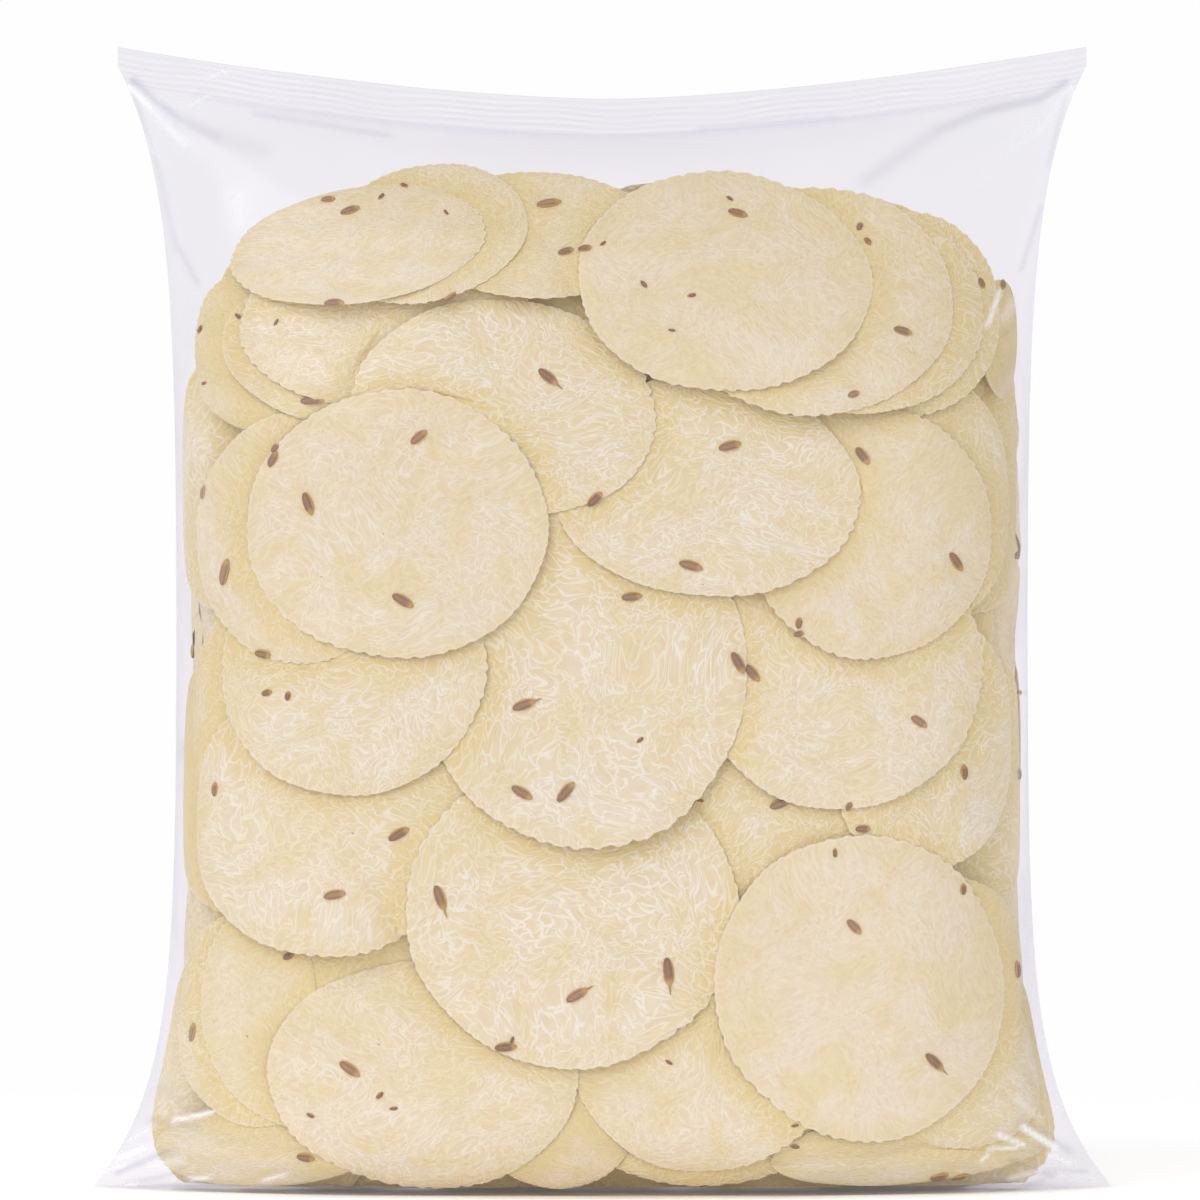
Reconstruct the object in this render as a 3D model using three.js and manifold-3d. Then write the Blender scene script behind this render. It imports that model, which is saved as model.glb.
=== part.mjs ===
// A clear pillow bag filled with thin round papads, standing on its flattened bottom end.
// Millimetres, +Z up, front face towards -Y. The origin is on the floor under the bag's middle.
// The solid runs out to the film. The papads that press against the film stand out of its front
// and back as low overlapping discs.

import * as THREE from 'three';
import { mergeVertices } from 'three/addons/utils/BufferGeometryUtils.js';
import Module from 'manifold-3d';

const wasm = await Module();
wasm.setup();

// Driving dimensions of the bag.
const middleHeight = 243.7; // floor to the top edge, at its lowest point in the middle
const cornerRise = 11.6; // how much higher the corners of the top edge are pulled
const cornerCurve = 1.6; // power of the top edge's sag
const sealBand = 8; // height of the ribbed seal under the top edge
const sealHalf = 108.6; // half the top seal's length
const waistHalf = 95.1; // half the width of the straight middle
const floorTip = 114.2; // half the width between the two corners on the floor
const floorFade = 21.5; // height over which the floor corners draw in
const sealFade = 26; // height over which the top corners draw in
const sealEnd = 4.3; // height over which the seal's two ends are cut straight
const coreDepth = 68; // front to back at the fullest, under the papads that stand out
const baseDepth = 58; // front to back where it stands on the floor
const baseRound = 7; // height over which the bottom edge rounds up
const middleShoulder = 64; // height over which the bag narrows to its seal, in the middle
const sideShoulder = 104; // the same near the sides, where the heap of papads is lower
const bladeHalf = 0.45; // half the thickness where the two films lie together

// Driving dimensions of the papads.
const papadRadius = 32.5;
const papadLift = 3.4; // how far the lower rim of a papad stands out of the core
const papadSink = 3; // how far its back is buried in the core
const freeTop = 7; // least height left free between a papad and the seal
const rimSides = 26;

// The sign of Y on each face of the bag.
const front = -1;
const back = 1;

const topEdge = (x) => middleHeight + cornerRise * (Math.abs(x) / sealHalf) ** cornerCurve;
const sealFoot = (x) => topEdge(x) - sealBand;

// Half the outline's width at a height: a straight waist that flares to the floor and the seal.
function halfWidth(z) {
  const floorFlare = (floorTip - waistHalf) * Math.exp(-z / floorFade);
  const underEnd = Math.min(z - topEdge(sealHalf) + sealEnd, 0);
  const sealFlare = (sealHalf - waistHalf) * Math.exp(underEnd / sealFade);
  return waistHalf + floorFlare + sealFlare;
}

// Half the thickness of the filled bag, not counting the two films, at a place of its outline.
function halfDepth(x, z) {
  const across = Math.min(Math.abs(x) / halfWidth(z), 1);
  const shoulder = middleShoulder + (sideShoulder - middleShoulder) * across ** 2;
  const belowSeal = Math.min(Math.max((sealFoot(x) - z) / shoulder, 0), 1);
  const narrowing = (1 - (1 - belowSeal) ** 2.5) ** 0.6;
  const standing = coreDepth / 2 - ((coreDepth - baseDepth) / 2) * Math.exp(-z / baseRound);
  const floorPinch = Math.exp(-z / 12);
  const sealPinch = Math.exp((z - topEdge(x)) / 28);
  const squareness = 4.6 - 1.2 * floorPinch - 2 * sealPinch;
  const roundness = 0.46 + 0.84 * floorPinch + 0.55 * sealPinch;
  return standing * narrowing * (1 - across ** squareness) ** roundness;
}

// The places of one face, row by row from the floor up to the top edge. Each row runs from the
// left outline to the right one, closer together where the film turns round the side.
function facePlaces(rows, columns) {
  const places = [];
  for (const { share, inSeal } of rows) {
    for (let column = 0; column <= columns; column += 1) {
      const across = Math.sin(((column / columns) * 2 - 1) * (Math.PI / 2));
      let x = waistHalf * across;
      let z = 0;
      for (let pass = 0; pass < 6; pass += 1) {
        z = share * sealFoot(x) + inSeal * sealBand;
        x = halfWidth(z) * across;
      }
      places.push([x, z]);
    }
  }
  return places;
}

function coreGeometry() {
  const columns = 30;
  const heights = [0, 1.4, 4, 8, 14, 22, 33, 48, 68, 94, 124, 154, 178, 194, 206, 216, 224, 230];
  const rows = heights.map((height) => ({ share: height / (middleHeight - sealBand), inSeal: 0 }));
  rows.push({ share: 1, inSeal: 0 }, { share: 1, inSeal: 1 });
  const places = facePlaces(rows, columns);
  const positions = [];
  for (const side of [front, back]) {
    for (const [x, z] of places) positions.push(x, side * (bladeHalf + halfDepth(x, z)), z);
  }

  const stride = columns + 1;
  const backStart = places.length;
  const faces = [];
  const quad = (a, b, c, d) => faces.push(a, b, c, a, c, d);
  for (let row = 0; row < rows.length - 1; row += 1) {
    const low = row * stride;
    const high = low + stride;
    for (let column = 0; column < columns; column += 1) {
      quad(low + column, low + column + 1, high + column + 1, high + column);
      const backLow = backStart + low + column;
      const backHigh = backStart + high + column;
      quad(backLow + 1, backLow, backHigh, backHigh + 1);
    }
    quad(backStart + low, low, high, backStart + high);
    quad(low + columns, backStart + low + columns, backStart + high + columns, high + columns);
  }
  const top = (rows.length - 1) * stride;
  for (let column = 0; column < columns; column += 1) {
    quad(column + 1, column, backStart + column, backStart + column + 1);
    quad(top + column, top + column + 1, backStart + top + column + 1, backStart + top + column);
  }
  return closedGeometry(positions, faces);
}

function closedGeometry(positions, faces) {
  const geometry = new THREE.BufferGeometry();
  geometry.setAttribute('position', new THREE.Float32BufferAttribute(positions, 3));
  geometry.setIndex(faces);
  return geometry;
}

// One papad pressed against the film. It follows the bag's face, its lower rim stands out and
// its upper rim is tucked in, as in shingles. wide and tall are its outline as seen from the
// front, as shares of its radius, and turn is that outline's slope in radians.
function papadGeometry({ x, z, wide, tall, turn, lift }, side) {
  const rings = [0, 0.64, 1];
  const positions = [];
  const addPlace = (ring, angle, buried) => {
    const along = papadRadius * wide * ring * Math.cos(angle);
    const up = papadRadius * tall * ring * Math.sin(angle);
    const px = x + along * Math.cos(turn) - up * Math.sin(turn);
    const pz = z + along * Math.sin(turn) + up * Math.cos(turn);
    const tuck = (1 - (up / (papadRadius * tall))) / 2;
    const proud = buried ? -papadSink : papadLift * (lift * (0.15 + tuck) - 0.15);
    const outline = halfWidth(Math.max(pz, 0)) * 0.985;
    const held = Math.min(Math.max(px, -outline), outline);
    const height = Math.min(Math.max(pz, 0.6), sealFoot(held) - freeTop);
    positions.push(held, side * Math.max(halfDepth(held, height) + proud, 0.2), height);
  };
  for (const buried of [false, true]) {
    addPlace(0, 0, buried);
    for (const ring of rings.slice(1)) {
      for (let i = 0; i < rimSides; i += 1) addPlace(ring, (i / rimSides) * 2 * Math.PI, buried);
    }
  }

  const perFace = 1 + (rings.length - 1) * rimSides;
  const faces = [];
  const tri = (a, b, c) => (side === front ? faces.push(a, b, c) : faces.push(a, c, b));
  for (let i = 0; i < rimSides; i += 1) {
    const next = (i + 1) % rimSides;
    tri(0, 1 + i, 1 + next);
    tri(perFace, perFace + 1 + next, perFace + 1 + i);
    for (let ring = 0; ring < rings.length - 2; ring += 1) {
      const inner = 1 + ring * rimSides;
      const outer = inner + rimSides;
      tri(inner + i, outer + i, outer + next);
      tri(inner + i, outer + next, inner + next);
      tri(perFace + inner + i, perFace + outer + next, perFace + outer + i);
      tri(perFace + inner + i, perFace + inner + next, perFace + outer + next);
    }
    const rim = 1 + (rings.length - 2) * rimSides;
    tri(rim + i, perFace + rim + i, perFace + rim + next);
    tri(rim + i, perFace + rim + next, rim + next);
  }
  return closedGeometry(positions, faces);
}

// Front papads: centre from the bag's middle and the floor, outline shares, slope, and how far
// out each lies among its neighbours.
const frontPapads = [
  { x: -54, z: 209, wide: 0.88, tall: 0.41, turn: 0.16, lift: 1.15 },
  { x: -39, z: 212, wide: 0.70, tall: 0.49, turn: 0.24, lift: 0.80 },
  { x: -14, z: 211, wide: 0.83, tall: 0.45, turn: 0, lift: 0.55 },
  { x: 27, z: 201, wide: 0.99, tall: 0.77, turn: -0.05, lift: 1.25 },
  { x: 46, z: 197, wide: 0.98, tall: 0.79, turn: 0, lift: 0.80 },
  { x: 59, z: 195, wide: 0.79, tall: 0.73, turn: 0, lift: 0.50 },
  { x: -21, z: 173, wide: 1.03, tall: 0.74, turn: -0.14, lift: 0.90 },
  { x: -48, z: 192, wide: 1.02, tall: 0.58, turn: 0, lift: 0.70 },
  { x: -45, z: 147, wide: 1.04, tall: 0.90, turn: 0, lift: 1.20 },
  { x: 23, z: 156, wide: 1.04, tall: 0.76, turn: -0.10, lift: 1.00 },
  { x: 59, z: 146, wide: 0.85, tall: 0.87, turn: 0, lift: 0.65 },
  { x: -67, z: 144, wide: 0.70, tall: 0.86, turn: 0, lift: 0.55 },
  { x: -55, z: 116, wide: 0.91, tall: 0.87, turn: 0, lift: 0.80 },
  { x: -3, z: 110, wide: 1.06, tall: 1.04, turn: 0, lift: 1.10 },
  { x: 53, z: 113, wide: 0.88, tall: 0.82, turn: 0, lift: 0.60 },
  { x: -60, z: 83, wide: 0.98, tall: 0.98, turn: 0, lift: 0.50 },
  { x: -7, z: 62, wide: 1.14, tall: 1.02, turn: -0.03, lift: 0.90 },
  { x: 57, z: 46, wide: 0.99, tall: 1.04, turn: 0, lift: 1.20 },
  { x: -39, z: 26, wide: 1.05, tall: 0.77, turn: 0, lift: 1.20 },
  { x: 22, z: 32, wide: 0.91, tall: 0.82, turn: 0, lift: 0.60 },
  { x: -71, z: 43, wide: 0.71, tall: 0.80, turn: 0, lift: 0.40 },
  { x: 33, z: 71, wide: 0.74, tall: 0.62, turn: 0, lift: 0.35 },
];

// Back papads: staggered rows, each a little off its place.
function backPapads() {
  const seeded = seededDraw(7);
  const list = [];
  const rowHeights = [28, 70, 112, 154, 190];
  rowHeights.forEach((rowHeight, row) => {
    const perRow = row % 2 === 0 ? 4 : 3;
    for (let i = 0; i < perRow; i += 1) {
      list.push({
        x: (i - (perRow - 1) / 2) * 41 + (seeded() - 0.5) * 12,
        z: rowHeight + (seeded() - 0.5) * 14,
        wide: 0.94 + seeded() * 0.1,
        tall: 0.72 + seeded() * 0.22,
        turn: (seeded() - 0.5) * 0.6,
        lift: 0.4 + seeded() * 0.8,
      });
    }
  });
  return list;
}

function seededDraw(seed) {
  let state = seed;
  return () => {
    state = (state * 16807) % 2147483647;
    return state / 2147483647;
  };
}

function toSolid(geometry) {
  const bare = geometry.clone();
  bare.deleteAttribute('normal');
  bare.deleteAttribute('uv');
  const merged = mergeVertices(bare, 1e-4);
  return new wasm.Manifold(
    new wasm.Mesh({
      numProp: 3,
      vertProperties: new Float32Array(merged.attributes.position.array),
      triVerts: new Uint32Array(merged.index.array),
    }),
  );
}

function toGeometry(solid) {
  const mesh = solid.getMesh();
  return closedGeometry(Array.from(mesh.vertProperties), Array.from(mesh.triVerts));
}

const papadMaterial = new THREE.MeshStandardMaterial({ color: 0xeee0c0, roughness: 0.55, metalness: 0 });

function makeBag() {
  let solid = toSolid(coreGeometry());
  for (const papad of frontPapads) solid = solid.add(toSolid(papadGeometry(papad, front)));
  for (const papad of backPapads()) solid = solid.add(toSolid(papadGeometry(papad, back)));
  const geometry = toGeometry(solid);
  geometry.computeVertexNormals();
  const bag = new THREE.Mesh(geometry, papadMaterial);
  bag.name = 'bag';
  return bag;
}

const papadBag = new THREE.Group();
papadBag.add(makeBag());

export default papadBag;
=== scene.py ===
import math

import bpy
import numpy as np
from mathutils import Matrix, Vector
from mathutils.bvhtree import BVHTree


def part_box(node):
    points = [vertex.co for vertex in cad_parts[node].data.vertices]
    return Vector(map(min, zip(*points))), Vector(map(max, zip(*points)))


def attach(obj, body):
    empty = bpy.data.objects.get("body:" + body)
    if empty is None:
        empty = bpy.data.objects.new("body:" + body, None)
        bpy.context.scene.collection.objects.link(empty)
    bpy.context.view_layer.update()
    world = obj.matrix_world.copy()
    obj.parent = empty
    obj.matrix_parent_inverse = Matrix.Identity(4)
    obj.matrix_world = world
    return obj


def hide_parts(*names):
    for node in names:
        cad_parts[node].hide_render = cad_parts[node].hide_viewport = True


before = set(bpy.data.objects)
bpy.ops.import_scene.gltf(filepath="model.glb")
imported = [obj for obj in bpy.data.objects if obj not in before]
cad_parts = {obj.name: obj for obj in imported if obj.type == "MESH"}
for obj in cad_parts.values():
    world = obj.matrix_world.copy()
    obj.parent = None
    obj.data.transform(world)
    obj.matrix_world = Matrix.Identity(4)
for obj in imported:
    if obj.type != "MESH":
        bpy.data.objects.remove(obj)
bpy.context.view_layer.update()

# ----------------------------------------
# The film bag. A clear plastic tube, ribbed and heat sealed flat along the top, filled, and stood
# on its folded bottom end. It is straight in the middle and drawn out to points at its corners,
# with folds that run in from them.
MM = 0.001
# The photograph's own frame, and where the camera stands for it.
frame_px = 1200
floor_row_px = 1186
middle_column_px = 602
px_size = 0.224 * MM
camera_place = Vector((0, -1.75, 0.1))

bag_low, bag_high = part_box("bag")
floor_tip = bag_high[0]
fullest_depth = (bag_high[1] - bag_low[1]) / 2 + 0.3 * MM
corner_rise = 11.6 * MM
middle_height = bag_high[2] - corner_rise
corner_curve = 1.6
seal_band = 8 * MM
seal_half = 108.6 * MM
waist_half = 95.1 * MM
floor_fade = 21.5 * MM
seal_fade = 26 * MM
seal_end = 4.3 * MM
base_half = 31 * MM
base_round = 7 * MM
middle_shoulder = 64 * MM
side_shoulder = 104 * MM
film_blade = 0.25 * MM


def top_edge(x):
    return middle_height + corner_rise * (np.abs(x) / seal_half) ** corner_curve


def seal_foot(x):
    return top_edge(x) - seal_band


def half_width(z):
    floor_flare = (floor_tip - waist_half) * np.exp(-z / floor_fade)
    under_end = np.minimum(z - bag_high[2] + seal_end, 0)
    seal_flare = (seal_half - waist_half) * np.exp(under_end / seal_fade)
    return waist_half + floor_flare + seal_flare


def half_depth(x, z, fullest=fullest_depth):
    """Half the bag's thickness at a place of its outline."""
    across = np.minimum(np.abs(x) / half_width(z), 1)
    shoulder = middle_shoulder + (side_shoulder - middle_shoulder) * across**2
    below_seal = np.clip((seal_foot(x) - z) / shoulder, 0, 1)
    narrowing = (1 - (1 - below_seal) ** 2.5) ** 0.6
    standing = fullest - (fullest - base_half) * np.exp(-z / base_round)
    floor_pinch = np.exp(-z / (12 * MM))
    seal_pinch = np.exp((z - top_edge(x)) / (28 * MM))
    squareness = 4.6 - 1.2 * floor_pinch - 2 * seal_pinch
    roundness = 0.46 + 0.84 * floor_pinch + 0.55 * seal_pinch
    return standing * narrowing * (1 - across**squareness) ** roundness


# Folds of the film: start, end (millimetres from the bag's middle and the floor), width, height.
# Each is sharpest and highest at its start, which is the corner or seam that pulls it.
film_folds = [
    ((107, 246), (60, 216), 1.5, 0.55), ((106, 243), (84, 188), 1.8, 0.5),
    ((107, 248), (40, 231), 1.4, 0.4), ((104, 240), (94, 200), 1.4, 0.45),
    ((100, 249), (52, 238), 1.2, 0.3), ((95, 205), (93, 150), 1.8, 0.4),
    ((112, 3), (86, 19), 1.6, 1.2), ((110, 6), (90, 34), 2.0, 0.9),
    ((112, 2), (72, 7), 1.4, 1.0), ((104, 13), (80, 12), 1.1, 0.9),
    ((96, 16), (84, 24), 1.0, 0.9), ((100, 22), (94, 60), 2.0, 0.6),
]
# Marks of the film, as the photograph shows them: start, end, half width (pixels) and strength.
# A crease darkens the film's tint, a painted shade, and a streak is painted white, a painted
# highlight.
painted_crease_shades = [
    ((133, 80), (156, 101), 4, 0.7), ((156, 101), (178, 119), 5, 0.6),
    ((178, 119), (216, 136), 7, 0.4), ((216, 136), (262, 150), 9, 0.2),
    ((255, 113), (390, 135), 3, 0.35), ((174, 240), (197, 283), 3, 0.35),
    ((133, 92), (158, 170), 3, 0.3), ((158, 170), (176, 250), 4, 0.25),
    ((1066, 82), (1040, 98), 4, 0.6), ((1040, 98), (985, 110), 5, 0.6),
    ((985, 110), (938, 130), 6, 0.45), ((938, 130), (866, 180), 8, 0.3),
    ((1066, 96), (1049, 165), 3, 0.3), ((1041, 208), (1022, 269), 3, 0.35),
    ((700, 128), (840, 116), 3, 0.25), ((118, 1172), (170, 1150), 3, 0.6),
    ((127, 1183), (180, 1172), 3, 0.5), ((163, 1088), (192, 1108), 6, 0.4),
    ((150, 1120), (196, 1126), 4, 0.4), ((1052, 1176), (1010, 1160), 3, 0.6),
    ((1068, 1150), (1022, 1120), 4, 0.5), ((1085, 1172), (1030, 1170), 3, 0.5),
    ((1022, 880), (1034, 1100), 12, 0.22), ((1010, 360), (1014, 640), 8, 0.16),
    ((942, 1179), (1007, 1191), 3, 0.5), ((1007, 1191), (1043, 1179), 3, 0.5),
    ((850, 1164), (926, 1143), 2, 0.3),
]
# Painted highlights on the film, white streaks and glows: start, end, half width (pixels) and
# strength.
painted_highlight_streaks = [
    ((128, 86), (152, 110), 2.5, 0.6), ((152, 110), (184, 143), 4, 0.35),
    ((236, 196), (238, 222), 14, 0.3), ((207, 77), (224, 71), 2, 0.6),
    ((190, 104), (208, 95), 2, 0.5), ((140, 128), (152, 152), 4, 0.3),
    ((1070, 88), (1042, 128), 4, 0.35), ((1042, 128), (1012, 150), 6, 0.3),
    ((1012, 150), (978, 182), 8, 0.18), ((988, 325), (1000, 292), 2.5, 0.7),
    ((1004, 318), (1013, 304), 6, 0.3), ((1050, 300), (1030, 420), 3, 0.2),
    ((117, 1158), (144, 1148), 3.5, 0.9), ((173, 1120), (211, 1112), 2.5, 0.8),
    ((190, 1179), (209, 1177), 2.5, 0.8), ((127, 1183), (136, 1183), 2, 0.8),
    ((261, 1180), (286, 1174), 2, 0.7), ((104, 1170), (126, 1164), 3, 0.5),
    ((130, 1140), (152, 1126), 4, 0.35), ((150, 1165), (182, 1160), 5, 0.35),
    ((1023, 1127), (1055, 1147), 3.5, 0.9), ((997, 1134), (1022, 1144), 2.5, 0.8),
    ((1049, 1154), (1070, 1163), 2.5, 0.8), ((980, 1162), (992, 1147), 2, 0.6),
    ((992, 1147), (1016, 1148), 2, 0.6), ((1060, 1172), (1092, 1176), 3, 0.5),
    ((1016, 1100), (1040, 1118), 4, 0.3), ((1040, 1170), (1010, 1178), 3, 0.4),
    ((160, 960), (182, 1110), 22, 0.13), ((200, 400), (206, 620), 16, 0.1),
    ((168, 900), (164, 1010), 3, 0.25), ((1036, 960), (1046, 1050), 3, 0.25),
    ((181, 420), (184, 640), 3, 0.15),
]


def marks(places, segments):
    """Strength of the painted shade or painted highlight marks at places, as they are seen from
    the camera.
    """
    reach = -camera_place[1] / (places[:, 1] - camera_place[1])
    seen_x = middle_column_px + places[:, 0] * reach / px_size
    seen_z = camera_place[2] + (places[:, 2] - camera_place[2]) * reach
    seen_y = floor_row_px - seen_z / px_size
    strongest = np.zeros(len(places))
    for (x0, y0), (x1, y1), width, strength in segments:
        run = np.hypot(x1 - x0, y1 - y0)
        share = ((seen_x - x0) * (x1 - x0) + (seen_y - y0) * (y1 - y0)) / run**2
        nearest = np.clip(share, 0, 1)
        away = np.hypot(seen_x - x0 - nearest * (x1 - x0), seen_y - y0 - nearest * (y1 - y0))
        strongest = np.maximum(strongest, strength * np.exp(-((away / width) ** 2)))
    return strongest


def fold_height(x, z, side):
    """How far the folds lift the film at places x, z, in metres. side is -1 left, 1 right."""
    lift = np.zeros_like(x)
    for (x0, z0), (x1, z1), width, height in film_folds:
        run_x, run_z = side * (x1 - x0) * MM, (z1 - z0) * MM
        length = math.hypot(run_x, run_z)
        away_x, away_z = x - side * x0 * MM, z - z0 * MM
        along = (away_x * run_x + away_z * run_z) / length**2
        off = (away_z * run_x - away_x * run_z) / length
        spread = width * MM * (0.6 + 1.2 * np.clip(along, 0, 1))
        fading = np.clip(1 - along, 0, 1) ** 0.8 * np.clip(1 + along * 12, 0, 1)
        lift += height * MM * np.exp(-((off / spread) ** 2)) * fading
    return lift


def film_crumple(x, z, face):
    """The film's small unevenness: puckers under the seal, long waves and the folds."""
    under = seal_foot(x) - z
    near_corner = np.clip(np.abs(x) / seal_half, 0, 1) ** 2
    pucker = np.sin(x / (2.1 * MM) + 3 * np.sin(x / (13 * MM) + face))
    pucker *= np.exp(-np.clip(under, 0, None) / (5 * MM)) * (under > 0)
    waves = np.sin(x / (9 * MM) + z / (31 * MM) + face) * np.sin(z / (17 * MM) - x / (40 * MM))
    lift = 0.12 * MM * pucker * (0.3 + near_corner) + 0.18 * MM * waves
    for side in (-1, 1):
        lift += fold_height(x, z, side)
    return lift


def grid_faces(rows, columns, start, turned):
    """Quads of a grid of places, row by row, facing -Y unless turned."""
    low = start + np.arange(rows - 1)[:, None] * columns + np.arange(columns - 1)[None, :]
    quads = np.stack([low, low + 1, low + columns + 1, low + columns], axis=-1).reshape(-1, 4)
    return quads[:, ::-1] if turned else quads


# Rows and columns of the film's mesh: closer at the floor, at the seal and at the sides.
film_columns, body_rows, seal_rows = 161, 190, 34
body_share = np.linspace(0, 1, body_rows)
body_share = body_share - 0.11 * np.sin(2 * math.pi * body_share) / (2 * math.pi) * 4
body_share = np.clip(body_share, 0, 1)
seal_share = np.linspace(0, 1, seal_rows)[1:]
film_rows = body_rows + len(seal_share)
across = np.sin(np.linspace(-1, 1, film_columns) * math.pi / 2)
film_x = np.tile(waist_half * across, (film_rows, 1))
# Each place's width hangs on its height, and the seal's height on its width.
for _ in range(8):
    body_z = body_share[:, None] * seal_foot(film_x[:body_rows])
    seal_z = seal_foot(film_x[body_rows:]) + seal_share[:, None] * seal_band
    film_z = np.vstack([body_z, seal_z])
    film_x = half_width(film_z) * across[None, :]

in_seal = np.clip((film_z - seal_foot(film_x)) / seal_band, 0, 1)
seal_ribs = 0.16 * MM * np.sin(in_seal * 6.5 * 2 * math.pi) * np.clip(in_seal * 8, 0, 1)
seal_sway = 0.9 * MM * np.sin(film_x / (27 * MM) + 0.6) + 0.35 * MM * np.sin(film_x / (8 * MM))
seal_sway *= np.clip(1 - (top_edge(film_x) - film_z) / (22 * MM), 0, 1) ** 2
lean = seal_sway + seal_ribs
depth = half_depth(film_x, film_z)
above_floor = np.clip(film_z / (3 * MM), 0, 1)
from_seam = np.clip(depth / (3 * MM), 0.15, 1)
film_parts = []
for face in (-1, 1):
    lift = film_crumple(film_x, film_z, face) * (1 - in_seal) * above_floor * from_seam
    film_y = face * (film_blade + depth + lift) + lean
    film_parts.append(np.stack([film_x, film_y, film_z], -1).reshape(-1, 3))
film_places = np.vstack(film_parts)
back_start = film_rows * film_columns
film_quads = [
    grid_faces(film_rows, film_columns, 0, False),
    grid_faces(film_rows, film_columns, back_start, True),
]
# The seams that join front and back: left, right, bottom and top.
left = np.arange(film_rows - 1) * film_columns
right = left + film_columns - 1
bottom = np.arange(film_columns - 1)
top = (film_rows - 1) * film_columns + bottom
for first, second in ((left + back_start, left), (right, right + back_start)):
    film_quads.append(np.stack([first, second, second + film_columns, first + film_columns], -1))
for first, second in ((bottom + 1, bottom), (top, top + 1)):
    film_quads.append(np.stack([first, second, back_start + second, back_start + first], -1))


def new_piece(name, mesh):
    piece = bpy.data.objects.new(name, mesh)
    bpy.context.scene.collection.objects.link(piece)
    return piece


def new_mesh(name, places, faces):
    mesh = bpy.data.meshes.new(name)
    mesh.from_pydata(places, [], faces)
    return mesh


def keep_values(mesh, name, values):
    """Keeps a number, or three, for each point of a mesh."""
    values = np.array(values, np.float32)
    kind, slot = ("FLOAT", "value") if values.ndim == 1 else ("FLOAT_VECTOR", "vector")
    mesh.attributes.new(name, kind, "POINT").data.foreach_set(slot, values.ravel())


film_mesh = new_mesh("film_bag", film_places.tolist(), np.vstack(film_quads).tolist())
film_mesh.validate()
film_mesh.shade_smooth()
film_mesh.set_sharp_from_angle(angle=math.radians(55))
wavy = 0.05 * np.sin(film_x / (11 * MM)) + 0.04 * np.sin(film_x / (4.1 * MM) + 1)
seal_share_up = in_seal + 4 * in_seal * (1 - in_seal) * wavy
keep_values(film_mesh, "up_seal", np.tile(seal_share_up.ravel(), 2))
# The painted crease shade and the painted highlights, kept for each point.
# The back has fainter marks at the same places.
for name, segments, back_strength in (("film_crease", painted_crease_shades, 0.5),
                                      ("film_streak", painted_highlight_streaks, 0.3)):
    front = marks(film_places[:back_start], segments)
    back = marks(film_places[back_start:], segments) * back_strength
    keep_values(film_mesh, name, np.append(front, back))
film = new_piece("film_bag", film_mesh)


class Nodes:
    """A node tree being built. Each method adds a node and gives back its output."""

    def __init__(self, tree):
        self.tree = tree

    def add(self, kind, inputs, output=0, **properties):
        """A node of a kind (a shader node unless its name says what it is). Its inputs go by name
        or number, and each is a value or another node's output."""
        node = self.tree.nodes.new(kind if "Node" in kind else "ShaderNode" + kind)
        for key, value in properties.items():
            setattr(node, key, value)
        for key, value in inputs.items():
            socket = node.inputs[key]
            if isinstance(value, bpy.types.NodeSocket):
                self.tree.links.new(value, socket)
            elif socket.type == "RGBA":
                socket.default_value = (*value, 1)
            else:
                socket.default_value = value
        return node if output is None else node.outputs[output]

    def attribute(self, name, output="Fac"):
        return self.add("Attribute", {}, output, attribute_name=name)

    def noise(self, scale, detail, vector, output="Fac"):
        inputs = {"Vector": vector, "Scale": scale, "Detail": detail}
        return self.add("TexNoise", inputs, output)

    def math(self, operation, *values):
        return self.add("Math", dict(enumerate(values)), operation=operation)

    def vector(self, operation, *values, output="Vector"):
        inputs = dict(enumerate(values))
        return self.add("VectorMath", inputs, output, operation=operation)

    def times(self, first, second):
        return self.math("MULTIPLY", first, second)

    def spread(self, value, low, high, bottom=0.0, top=1.0):
        """From bottom to top, smoothly, as the value goes from low to high."""
        inputs = {"Value": value, "From Min": low, "From Max": high,
                  "To Min": bottom, "To Max": top}
        return self.add("MapRange", inputs, interpolation_type="SMOOTHSTEP")

    def blend(self, amount, first, second):
        inputs = {"Factor": amount, "A": first, "B": second}
        return self.add("Mix", inputs, "Result", data_type="RGBA")

    def mixed(self, amount, first, second):
        return self.add("MixShader", {0: amount, 1: first, 2: second})

    def bump(self, height, strength, distance):
        inputs = {"Height": height, "Strength": strength, "Distance": distance}
        return self.add("Bump", inputs)

    def finish(self, surface):
        self.add("OutputMaterial", {"Surface": surface}, None)


def blank_material(name):
    material = bpy.data.materials.new(name)
    material.use_nodes = True
    material.node_tree.nodes.clear()
    return material, Nodes(material.node_tree)


# The seal's welded ribs, by their height in it and how much light each holds back.
rib_weights = (
    (0.02, 0.75), (0.08, 0.05), (0.17, 0.5), (0.26, 0.05), (0.34, 0.45), (0.43, 0.0),
    (0.52, 0.5), (0.60, 0.05), (0.69, 0.4), (0.78, 0.0), (0.88, 0.35), (0.95, 0.15),
)


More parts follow.
